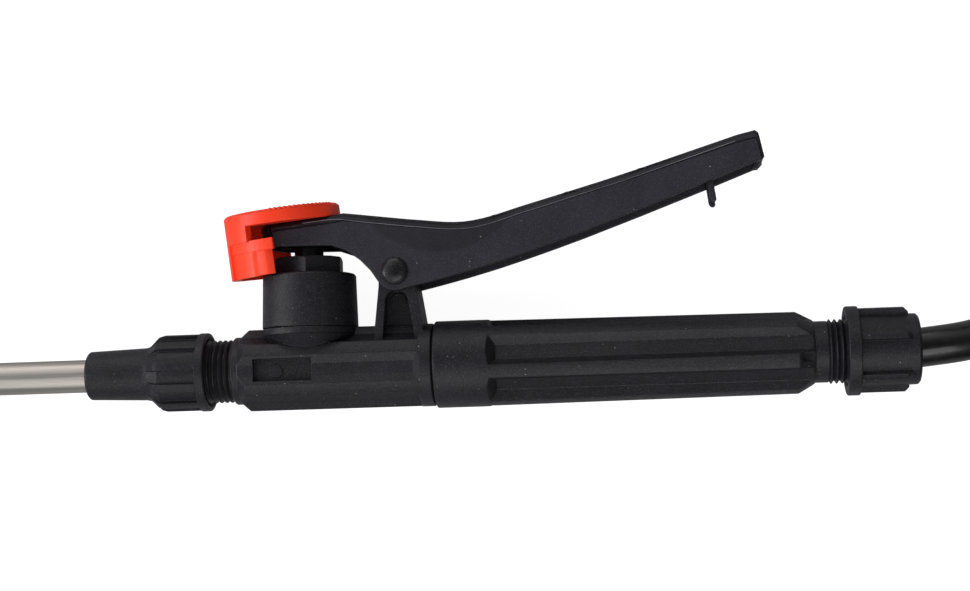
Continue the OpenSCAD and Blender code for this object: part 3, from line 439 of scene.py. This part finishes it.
def knob_teeth():
    """The fine row of teeth round the knob's top edge, on both sides of the lever."""
    knob = nodes["lock_knob"]
    base = at(*KNOB_AT)
    across = (Vector((1, 0, 0)) - KNOB_AXIS * KNOB_AXIS.x).normalized()
    other = KNOB_AXIS.cross(across)
    spots = [knob.matrix_world @ v.co - base for v in knob.data.vertices]
    heights = [spot.dot(KNOB_AXIS) for spot in spots]
    top = max(heights)
    rim = max((spot - KNOB_AXIS * height).length for spot, height in zip(spots, heights)
              if height > top - RIM_DEPTH * MM)
    bm = bmesh.new()
    for side in (1, -1):
        for k in range(TEETH):
            angle = side * math.radians(TOOTH_FROM + TOOTH_STEP * k)
            out = across * math.cos(angle) + other * math.sin(angle)
            place = base + out * (rim - TOOTH_IN * MM) + KNOB_AXIS * (top - TOOTH_DOWN * MM)
            bmesh.ops.create_icosphere(bm, subdivisions=2, radius=TOOTH_R * MM, matrix=Matrix.Translation(place))
    mesh = bpy.data.meshes.new("knob_teeth")
    bm.to_mesh(mesh)
    bm.free()
    mesh.shade_smooth()
    made = bpy.data.objects.new("knob_teeth", mesh)
    bpy.context.scene.collection.objects.link(made)
    paint(made, FINISHES["red_plastic"])
    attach(made, "knob")


lever_seam_highlight()
knob_teeth()

# ---------------------------------------------------------------- floor and light


def softbox(name, place, aim, size, power, colour=(1, 1, 1)):
    data = bpy.data.lights.new(name, "AREA")
    data.shape, data.size, data.size_y = "RECTANGLE", size[0], size[1]
    data.energy, data.color = power, colour
    made = bpy.data.objects.new(name, data)
    made.location = place
    made.rotation_euler = (Vector(aim) - Vector(place)).to_track_quat("-Z", "Y").to_euler()
    bpy.context.scene.collection.objects.link(made)


FLOOR_HALF = 6
SEEN_GLOW, MIRRORED_GLOW = 0.94, 0.12


def floor():
    """A pale floor that the camera sees as white and that takes the object's shadow."""
    mesh = bpy.data.meshes.new("floor")
    bm = bmesh.new()
    bmesh.ops.create_grid(bm, x_segments=1, y_segments=1, size=FLOOR_HALF)
    bm.to_mesh(mesh)
    bm.free()
    made = bpy.data.objects.new("floor", mesh)
    bpy.context.scene.collection.objects.link(made)
    t = Tree("white_backdrop")
    t.set(Base_Color=srgb(150, 150, 151), Roughness=0.9)
    t.shader.inputs["Specular IOR Level"].default_value = 0.05
    rays = t.node("ShaderNodeLightPath").outputs
    mirrored = t.math("MAXIMUM", rays["Is Glossy Ray"], rays["Is Transmission Ray"])
    glow = t.node("ShaderNodeEmission", Color=(1, 1, 1, 1))
    t.put(glow.inputs["Strength"], t.math("ADD", t.math("MULTIPLY", rays["Is Camera Ray"], SEEN_GLOW),
                                          t.math("MULTIPLY", mirrored, MIRRORED_GLOW)))
    both = t.node("ShaderNodeAddShader")
    t.links.new(t.shader.outputs[0], both.inputs[0])
    t.links.new(glow.outputs[0], both.inputs[1])
    t.links.new(both.outputs[0], t.nodes["Material Output"].inputs["Surface"])
    mesh.materials.append(t.mat)


floor()
softbox("left", (-1.58, -0.16, 0.8), (-0.03, 0, 0.02), (0.6, 0.6), 11, (0.96, 0.97, 1))
softbox("top", (-0.25, 1.5, 0.5), (0, 0, 0.02), (1.3, 0.5), 5, (1, 0.97, 0.94))
softbox("bottom", (0.3, -0.88, 1.1), (0.05, 0, 0.02), (1.2, 0.8), 7)


# How bright the sky is by the height of a direction (1 is straight up), and by its X
SKY = ((0.0, 0.03), (0.25, 0.3), (0.5, 1.0), (0.7, 0.8), (0.85, 0.35), (1.0, 0.12))
SKY_SIDE = (("From Min", -0.6), ("From Max", 0.7), ("To Min", 1.7), ("To Max", 0.3))


def sky():
    """A studio lit in a ring round the camera's side, weaker to the right and low down."""
    world = bpy.data.worlds.new("studio")
    bpy.context.scene.world = world
    world.use_nodes = True
    made, links = world.node_tree.nodes, world.node_tree.links
    place = made.new("ShaderNodeTexCoord")
    split = made.new("ShaderNodeSeparateXYZ")
    links.new(place.outputs["Generated"], split.inputs[0])
    ring = made.new("ShaderNodeValToRGB")
    links.new(split.outputs["Z"], ring.inputs["Fac"])
    stops = ring.color_ramp.elements
    for where, _ in SKY[1:-1]:
        stops.new(where)
    for stop, (_, level) in zip(stops, SKY):
        stop.color = (level, level, level, 1)
    side = made.new("ShaderNodeMapRange")
    links.new(split.outputs["X"], side.inputs["Value"])
    for socket, value in SKY_SIDE:
        side.inputs[socket].default_value = value
    level = made.new("ShaderNodeMath")
    level.operation = "MULTIPLY"
    links.new(ring.outputs["Color"], level.inputs[0])
    links.new(side.outputs["Result"], level.inputs[1])
    made["Background"].inputs["Color"].default_value = (1, 1, 1, 1)
    links.new(level.outputs[0], made["Background"].inputs["Strength"])


sky()
bpy.context.scene.view_settings.view_transform = "Standard"
